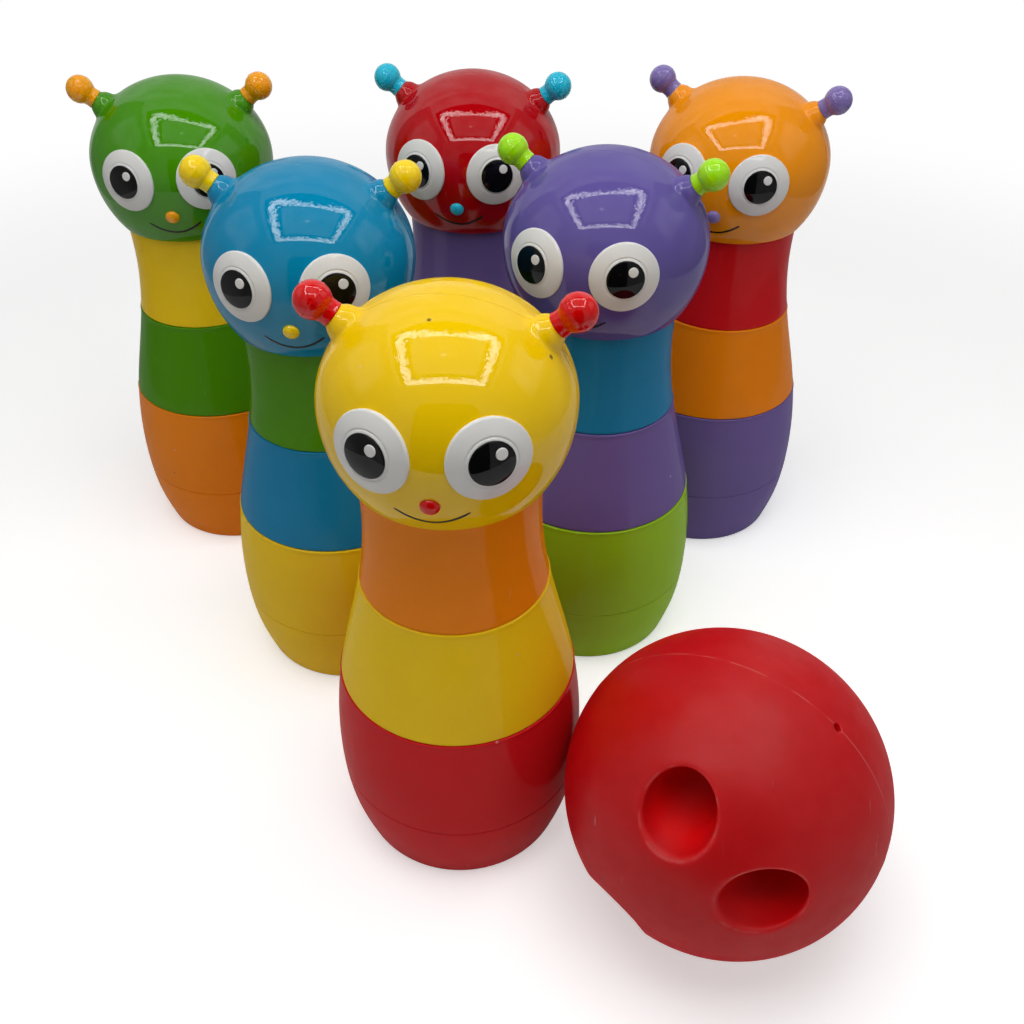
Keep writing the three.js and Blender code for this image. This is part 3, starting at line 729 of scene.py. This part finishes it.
# Moulded plastic: the skin group gives what varies, and the film over it is set on the shader. Marks are dark
# dots at given places. Lines gives how much of a pale line shows at a place, partly a painted highlight, and
# the last argument how much of a brighter colour is painted in to lighten the shade deep in the cups.
def plastic(name, kind, shade, bump=0.00004, lines=None, paintedCupLight=None):
    values = finishes[kind]
    colour = toLinear(shades[kind][shade])
    material = bpy.data.materials.new(name)
    w = Wiring(emptyTree(material))
    at = w.add("ShaderNodeTexCoord").outputs["Object"]
    skin = w.add("ShaderNodeGroup", node_tree=mouldedSkin)
    w.put(skin.inputs["Vector"], at)
    w.put(skin.inputs["Colour"], colour)
    for label in ("roughness", "mottle", "film", "specks", "scuffs", "grain"):
        w.put(skin.inputs[label.capitalize()], values[label])
    shown = skin.outputs["Colour"]
    if paintedCupLight:
        # painted light: a brighter red, stronger with depth, lightens the shade deep in the cups
        shown = w.blend(paintedCupLight(w, at), shown, toLinear(ballMarks["paintedCupLight"]))
    for place, size in marks.get(name, ()):
        away = w.vectorMath("DISTANCE", at, place)
        away = w.plus(away, w.times(w.noise(at, dirt["scale"]), size * dirt["ragged"]))
        spot = w.spread(away, size * dirt["edge"], size * dirt["core"], 0.0, dirt["shown"])
        shown = w.blend(spot, shown, dirt["shade"])
    if lines:
        shown = w.blend(lines(w, at), shown, ballMarks["lineAndHighlightShade"])
    bumps = w.add("ShaderNodeBump", {"Height": skin.outputs["Height"], "Strength": 1.0, "Distance": bump})
    shader = w.add("ShaderNodeBsdfPrincipled", {
        "Base Color": shown, "Roughness": skin.outputs["Roughness"], "IOR": 1.0,
        "Normal": bumps.outputs["Normal"], "Coat Normal": bumps.outputs["Normal"],
        "Coat Weight": skin.outputs["Film"], "Coat Roughness": values["roughness"],
        "Coat IOR": values["index"],
        "Subsurface Weight": values["glow"], "Subsurface Scale": values["reach"],
        "Subsurface Radius": colour[:3],
    })
    w.finish(shader)
    return material


# Moulding flaws and dirt that show as dark dots: where, in metres, and how large
marks = {"head_yellow": (((-0.0032, -0.0109, 0.2024), 0.0006), ((0.0275, -0.00965, 0.1911), 0.0007))}
dirt = {"scale": 2500.0, "ragged": 0.5, "edge": 1.5, "core": 0.9, "shown": 0.8,
        "shade": (0.07, 0.04, 0.01, 1)}
# The ball's pale lines: its parting line, and a painted highlight on the shoulder of each cup, as widths in
# metres and how much shows; and the brighter red painted deep in the cups to lighten their shade, with the
# depths in millimetres between which it fades
ballMarks = {
    "parting": (0.0001, 0.0004, 0.15, 0.0), "ring": (0.0001, 0.0005, 0.12, 0.0),
    "lineAndHighlightShade": (0.80, 0.45, 0.42, 1), "breaks": (0.42, 0.58, 0.1, 1.0), "breakScale": 130.0,
    "paintedCupLight": (0.87, 0.012, 0.04), "paintedLightDepths": (9, 1.5),
}
madeMaterials = {}


# The slot's name in the record and its material, made once.
def materialFor(kind, shade):
    slotName = f"{kind}_{shade}"
    if slotName not in madeMaterials:
        madeMaterials[slotName] = plastic(slotName, kind, shade)
    return slotName, madeMaterials[slotName]


# Pins

# The middle of a node's box, on the floor, in millimetres.
def spotOf(node):
    low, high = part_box(node)
    return np.array([(low.x + high.x) / 2, (low.y + high.y) / 2, 0]) / mm


# Makes every piece of one pin, turned on its spot, and lets it ride on the pin's body.
def standPin(pin, colours):
    angle = math.radians(colours["turn"])
    cos, sin = math.cos(angle), math.sin(angle)
    turn = np.array([[cos, -sin, 0], [sin, cos, 0], [0, 0, 1]])
    spot = spotOf(pin + "_base_band")

    def add(part, grids, kind, shade, stands=()):
        slotName, material = materialFor(kind, shade)
        piece = makePiece(f"{pin}_{part}", [grid @ turn.T + spot for grid in grids], material)
        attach(piece, pin)
        if stands:
            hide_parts(*[f"{pin}_{node}" for node in stands])

    gap, edge, lip, rows = body["gap"] / 2, body["edge"], body["lip"], body["bandRows"]
    cap, capGap = body["capSeam"], body["capGap"]
    low, high, seat = body["middleSeam"], body["neckSeam"], body["headSeat"]
    baseProfile = bandProfile(cap + capGap, low - gap, body["capEdge"], lip, body["baseRows"])
    for part, band, profile, moulding in (
            ("foot_cap", "base_band", capProfile(cap - capGap), "tips"),
            ("base_shell", "base_band", baseProfile, "tips"),
            ("middle_shell", "middle_band", bandProfile(low + gap, high - gap, edge, lip, rows), "head"),
            ("neck_shell", "neck_band", bandProfile(high + gap, seat, edge, 0, rows), "neck")):
        add(part, [lathe(profile, body["sides"])], "band", colours[moulding], [band])
    for half, part in ((-1, "front"), (1, "back")):
        grids = [headShell(half), stubShell(-1, half), stubShell(1, half)]
        add("face_shell" if half < 0 else "nape_shell", grids, "head", colours["head"], [f"head_{part}"])
    for side, name in ((-1, "left"), (1, "right")):
        add(f"antenna_{name}", [antennaTip(side)], "tip", colours["tips"], [f"antenna_tip_{name}"])
        look = faceDirection(side * face["heading"], face["elevation"])
        add(f"eye_{name}", [onHeadDisc(look, eyePlateProfile())], "eye", "white", [f"eye_plate_{name}"])
        proud = face["plateProud"] + face["pupilProud"]
        depth = face["pupilFoot"] - face["plateProud"]
        pupil = discProfile(face["pupilRadius"], proud, face["pupilEdge"], depth)
        pupil[:, 1] += domeRise(pupil[:, 0])
        add(f"pupil_{name}", [onHeadDisc(look, pupil)], "ink", "black")
        aside, up = [math.degrees(off / head["radius"]) for off in face["glintOff"]]
        glintLook = faceDirection(side * face["heading"] + aside, face["elevation"] + up)
        proud = face["plateProud"] + face["glintProud"] + float(domeRise(math.hypot(*face["glintOff"])))
        glint = discProfile(face["glintRadius"], proud, face["glintEdge"], -face["plateProud"])
        add(f"glint_{name}", [onHeadDisc(glintLook, glint)], "eye", "white")
    noseLook = faceDirection(0.0, face["noseElevation"])
    add("nose", [onHeadDisc(noseLook, noseProfile())], "tip", colours["tips"])
    add("smile", [smileGrid()], "ink", "black")


for pin, colours in pins.items():
    standPin(pin, colours)
    print("pin made:", pin)

ballCentre = spotOf("ball") + [0, 0, ball["radius"]]
ballSlot = "ball_red"


def inMetres(place):
    return tuple(float(v) for v in place * mm)


# How far below the skin a place is, from a little under it to well down a cup: where painted light lightens
# the cups' shade.
def ballDepth(w, at):
    deep, shallow = [(ball["radius"] - depth) * mm for depth in ballMarks["paintedLightDepths"]]
    return w.spread(w.vectorMath("DISTANCE", at, inMetres(ballCentre)), deep, shallow, 1.0, 0.0)


# The parting line, where the pole's axis is met square, and a painted highlight on the shoulder of each cup,
# where its rim catches light.
def ballLines(w, at):
    turn = ballTurn()
    pole = tuple(float(v) for v in turn[:, 2])

    def ray(centre):
        return w.vectorMath("SUBTRACT", at, inMetres(centre))

    rise = w.vectorMath("DOT_PRODUCT", ray(ballCentre), pole)
    line = w.spread(w.size(rise), *ballMarks["parting"])
    for offset, heading in ball["cups"]:
        aside = math.radians(heading)
        middle = ballCentre + turn @ np.array([offset * math.cos(aside), offset * math.sin(aside), 0])
        away = w.vectorMath("LENGTH", w.vectorMath("CROSS_PRODUCT", ray(middle), pole))
        off = w.size(w.minus(away, (ball["cup"] + ball["shoulder"]) * mm))
        # painted highlight: a pale line where each cup's rim would catch the light
        ring = w.times(w.spread(off, *ballMarks["ring"]), w.math("GREATER_THAN", rise, 0))
        line = w.larger(line, ring)
    return w.times(line, w.spread(w.noise(at, ballMarks["breakScale"], 3.0), *ballMarks["breaks"]))


# the ball's colour holds painted light in its cups and a painted highlight on each cup's shoulder
ballMaterial = plastic(ballSlot, "vinyl", "red", bump=0.00006, lines=ballLines, paintedCupLight=ballDepth)
ballPiece = makePiece("bowling_ball", [ballGrid() @ ballTurn().T + ballCentre], ballMaterial, smoothAngle=75)
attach(ballPiece, "ball")
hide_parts("ball")
print("ball made:", len(ballPiece.data.polygons), "faces")

# Studio: a soft panel overhead, and the light tent that the gloss shows, with its open door at the camera
studio = {
    "floorRadius": 3.0, "floorSides": 96, "floorMiddle": 0.08, "floorDrop": 0.0002,
    "floorShade": 0.88, "floorLift": 0.49, "floorMirrored": 0.25, "fadeFrom": 0.30, "fadeTo": 0.75,
    "panelPlace": (0.013, -0.033, 0.68), "panelSize": (0.55, 0.47), "panelPower": 3.0,
    "stripPlace": (0.013, -0.052), "stripSize": (0.60, 0.46), "stripWidth": 0.074, "stripRound": 0.035,
    "stripGlow": 8.0, "stripGrain": 48, "stripBow": 0.08, "stripRagged": 3.3, "stripCore": 0.6,
    "stripEdge": 1.1, "beadGrain": 1.3, "beads": (0.40, 0.58, 0.55, 1.25),
    "lampPlace": (-0.012, -0.05), "lampSize": (0.026, 0.02), "lampGlow": 2.2,
    "left": -0.42, "right": 0.44, "front": -0.30, "back": 0.44, "top": 0.70, "skin": 0.001,
    "doorLeft": -0.15, "doorRight": 0.18, "doorTop": 0.44, "doorRound": 0.06, "doorEdge": 0.006,
    "backGlow": 0.85, "topGlow": 0.70, "sideGlow": 0.30, "frontGlow": 0.35, "doorGlow": 0.02,
    "windowMiddle": (0.08, 0.46), "windowHalf": (0.15, 0.13), "windowGlow": 0.55, "windowEdge": (0.8, 1.3),
    "folds": 6.0, "foldGlow": (0.3, 0.7, 0.75, 1.2),
    "skyTop": 0.064, "skyBack": 0.032, "skyLeft": 0.364, "skyRight": 0.438, "skyFront": 0.0,
    "skyHigh": (0.5, 0.8), "skyReach": 0.6,
}
white = (1, 1, 1, 1)
# The four sides of a box, from its corners: four round its foot, and the four over them
boxSides = [(i, (i + 1) % 4, 4 + (i + 1) % 4, 4 + i) for i in range(4)]


# 1 for what the camera sees, mirrored or through something clear too, and 0 for light that falls on things.
def seenDirectly(w, path):
    seen = w.larger(path["Is Camera Ray"], path["Is Glossy Ray"])
    return w.larger(seen, path["Is Transmission Ray"])


# Pale floor that keeps the shadows near the set and fades to plain white farther out.
def makeFloor():
    around = roundTurn(studio["floorSides"])
    edge = studio["floorRadius"] * np.stack([np.cos(around), np.sin(around), 0 * around], axis=1)
    mesh = bpy.data.meshes.new("floor")
    mesh.from_pydata(edge + [0, studio["floorMiddle"], -studio["floorDrop"]], [], [list(range(len(edge)))])
    floor = addObject("floor", mesh)
    material = bpy.data.materials.new("pale_floor")
    w = Wiring(emptyTree(material))
    at = w.add("ShaderNodeTexCoord").outputs["Object"]
    away = w.vectorMath("DISTANCE", at, (0.0, studio["floorMiddle"], 0.0))
    far = w.spread(away, studio["fadeFrom"], studio["fadeTo"])
    path = w.add("ShaderNodeLightPath").outputs
    shade = studio["floorShade"]
    pale = w.add("ShaderNodeBsdfDiffuse", {"Color": (shade, shade, shade, 1)})
    mirrored = w.times(path["Is Glossy Ray"], studio["floorMirrored"])
    raised = w.times(w.larger(path["Is Camera Ray"], mirrored), studio["floorLift"])
    lift = w.add("ShaderNodeEmission", {"Color": white, "Strength": raised})
    near = w.add("ShaderNodeAddShader", {0: pale.outputs[0], 1: lift.outputs[0]})
    plain = w.add("ShaderNodeEmission", {"Color": white, "Strength": 1.0})
    shown = w.times(far, seenDirectly(w, path))
    w.finish(w.add("ShaderNodeMixShader", {0: shown, 1: near.outputs[0], 2: plain.outputs[0]}))
    mesh.materials.append(material)


# Something that only mirrored rays see: its glow is given by nodes that read its own coordinates.
def addGloss(name, corners, faces, glow):
    mesh = bpy.data.meshes.new(name)
    mesh.from_pydata(corners, [], faces)
    material = bpy.data.materials.new(name)
    w = Wiring(emptyTree(material))
    at = w.add("ShaderNodeTexCoord").outputs["Object"]
    axes = w.add("ShaderNodeSeparateXYZ", {0: at}).outputs
    w.finish(w.add("ShaderNodeEmission", {"Color": white, "Strength": glow(w, at, axes)}))
    mesh.materials.append(material)
    thing = addObject(name, mesh)
    thing.visible_camera = thing.visible_diffuse = thing.visible_shadow = False
    thing.visible_transmission = thing.visible_volume_scatter = False


# Soft light from overhead.
def makePanel():
    panel = bpy.data.lights.new("panel", "AREA")
    panel.shape = "RECTANGLE"
    panel.size, panel.size_y = studio["panelSize"]
    panel.energy = studio["panelPower"]
    panelObject = addObject("panel", panel)
    panelObject.location = studio["panelPlace"]
    panelObject.visible_camera = panelObject.visible_glossy = False


# Rectangle of small lamps under the tent's ceiling, with ragged edges, which the glossy heads show as a
# bright outline, and one small lamp inside it.
def makeStrips():
    x, y = studio["stripPlace"]
    z = studio["panelPlace"][2]
    width, depth = studio["stripSize"]
    half, corner = studio["stripWidth"] / 2, studio["stripRound"]
    corners = [(x + i * (width / 2 + j * 2 * half), y + k * (depth / 2 + j * 2 * half), z)
               for j in (-1, 1) for i, k in ((-1, -1), (1, -1), (1, 1), (-1, 1))]

    # Distance from a rectangle's outline with rounded corners, plus noise, gives where the lamps end. The
    # bow brings the far side in at its middle.
    def glow(w, at, axes):
        across = w.size(w.minus(axes[0], x))
        aside = w.minus(across, width / 2 - corner)
        beyond = w.times(w.math("GREATER_THAN", axes[1], y), studio["stripBow"])
        bow = w.times(w.spread(across, 0.0, width / 2, 1.0, 0.0), beyond)
        ahead = w.minus(w.plus(w.size(w.minus(axes[1], y)), bow), depth / 2 - corner)
        outA, outB = w.larger(aside, 0), w.larger(ahead, 0)
        outside = w.math("SQRT", w.plus(w.times(outA, outA), w.times(outB, outB)))
        inside = w.math("MINIMUM", w.larger(aside, ahead), 0)
        off = w.size(w.minus(w.plus(outside, inside), corner))
        ragged = w.minus(w.noise(at, studio["stripGrain"], 1.0), 0.5)
        off = w.plus(off, w.times(ragged, half * studio["stripRagged"]))
        lit = w.spread(off, half * studio["stripCore"], half * studio["stripEdge"], 1.0, 0.0)
        beads = w.noise(at, studio["stripGrain"] * studio["beadGrain"], 1.0)
        return w.times(w.times(lit, w.spread(beads, *studio["beads"])), studio["stripGlow"])

    addGloss("strips", corners, boxSides, glow)
    lampX, lampY = studio["lampPlace"]
    wide, deep = studio["lampSize"]
    corners = [(lampX + i * wide, lampY + k * deep, z) for i, k in ((-1, 0), (0, -1), (1, 0), (0, 1))]
    addGloss("small_lamp", corners, [(0, 1, 2, 3)], lambda w, at, axes: studio["lampGlow"])


# Light tent: bright back, softer ceiling, dim sides and front, a bright window in each side, and a dark
# door that the camera looks through.
def makeTent():
    x = (studio["left"], studio["right"])
    y = (studio["front"], studio["back"])
    corners = [(x[i], y[k], z) for z in (0, studio["top"]) for i, k in ((0, 0), (1, 0), (1, 1), (0, 1))]

    def glow(w, at, axes):
        skin, corner = studio["skin"], studio["doorRound"]
        back = w.math("GREATER_THAN", axes[1], studio["back"] - skin)
        front = w.math("LESS_THAN", axes[1], studio["front"] + skin)
        top = w.math("GREATER_THAN", axes[2], studio["top"] - skin)
        middle = (studio["doorLeft"] + studio["doorRight"]) / 2
        halfWidth = (studio["doorRight"] - studio["doorLeft"]) / 2
        aside = w.larger(w.minus(w.size(w.minus(axes[0], middle)), halfWidth - corner), 0)
        above = w.larger(w.minus(axes[2], studio["doorTop"] - corner), 0)
        reach = w.math("SQRT", w.plus(w.times(aside, aside), w.times(above, above)))
        door = w.times(front, w.spread(reach, corner - studio["doorEdge"], corner, 1.0, 0.0))
        level = studio["sideGlow"]
        for wall, key in ((back, "backGlow"), (front, "frontGlow"), (top, "topGlow")):
            level = w.plus(level, w.times(wall, studio[key] - studio["sideGlow"]))
        level = w.minus(level, w.times(door, studio["frontGlow"] - studio["doorGlow"]))
        window = w.math("GREATER_THAN", w.size(axes[0]), -studio["left"] - skin)
        for axis, middle, half in zip((1, 2), studio["windowMiddle"], studio["windowHalf"]):
            off = w.size(w.minus(axes[axis], middle))
            window = w.times(window, w.spread(off, *[half * edge for edge in studio["windowEdge"]], 1.0, 0.0))
        level = w.plus(level, w.times(window, studio["windowGlow"]))
        return w.times(level, w.spread(w.noise(at, studio["folds"]), *studio["foldGlow"]))

    addGloss("tent", corners, boxSides + [(4, 5, 6, 7)], glow)


# World: white where the camera looks at it. Its light on things comes mostly from the two sides, a little
# from above and behind, and none from the front.
def makeSky():
    world = bpy.data.worlds.new("sky")
    bpy.context.scene.world = world
    w = Wiring(emptyTree(world))
    toward = w.add("ShaderNodeTexCoord").outputs["Generated"]
    axes = w.add("ShaderNodeSeparateXYZ", {0: toward}).outputs
    level = 0.0
    for key, axis, way in (("skyBack", 1, 1), ("skyFront", 1, -1), ("skyLeft", 0, -1), ("skyRight", 0, 1)):
        level = w.plus(level, w.times(w.spread(axes[axis], 0.0, way * studio["skyReach"]), studio[key]))
    level = w.plus(level, w.times(w.minus(studio["skyTop"], level), w.spread(axes[2], *studio["skyHigh"])))
    seen = seenDirectly(w, w.add("ShaderNodeLightPath").outputs)
    level = w.plus(w.times(level, w.minus(1.0, seen)), seen)
    w.finish(w.add("ShaderNodeBackground", {"Color": white, "Strength": level}), "ShaderNodeOutputWorld")


makeFloor()
makePanel()
makeStrips()
makeTent()
makeSky()
print("studio set")

# Camera where the photograph was taken from, worked out from the pins' outlines
view = {"place": (0.0155, -0.2449, 0.3286), "pitch": 38.55, "focal": 1052.34, "side": 1024,
        "axisX": 504.21, "axisY": 509.46, "sensor": 36.0}
cameraData = bpy.data.cameras.new("camera")
cameraData.sensor_width = view["sensor"]
cameraData.lens = view["focal"] / view["side"] * view["sensor"]
cameraData.shift_x = (view["side"] / 2 - view["axisX"]) / view["side"]
cameraData.shift_y = (view["axisY"] - view["side"] / 2) / view["side"]
camera = addObject("camera", cameraData)
camera.location = view["place"]
camera.rotation_euler = Euler((math.radians(90 - view["pitch"]), 0, 0))
bpy.context.scene.camera = camera
bpy.context.scene.view_settings.view_transform = "Standard"
